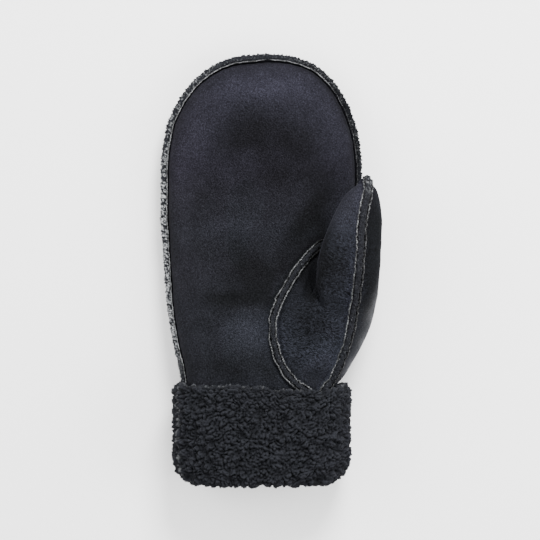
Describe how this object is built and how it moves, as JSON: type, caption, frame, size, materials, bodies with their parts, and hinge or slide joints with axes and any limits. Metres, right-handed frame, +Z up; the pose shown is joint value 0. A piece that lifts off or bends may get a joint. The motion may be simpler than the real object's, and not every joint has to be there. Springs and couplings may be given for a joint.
{
  "type": "mitten",
  "caption": "Right-hand winter mitten of suede with curly pile inside, raw-edged outside seams, a thumb folded over the palm and a turned-up pile cuff.",
  "frame": {"origin": "on the resting surface, below the middle of the mitten's box", "axes": "+X towards the thumb side, +Y towards the fingertips, +Z up from the back of the hand through the palm"},
  "size_m": [0.1386, 0.274, 0.0586],
  "materials": {
    "suede": "dark navy suede with a short nap",
    "pile": "dark curly sheep's wool pile",
    "seam_pile": "raw pile edge, dark with grey speckles"
  },
  "bodies": {
    "root": {"palm_panel": "suede", "back_panel": "suede", "thumb_panel": "suede", "edge_seam": "seam_pile", "thumb_seam": "seam_pile", "thumb_base_seam": "seam_pile", "cuff_palm_half": "pile", "cuff_back_half": "pile"}
  },
  "joints": []
}
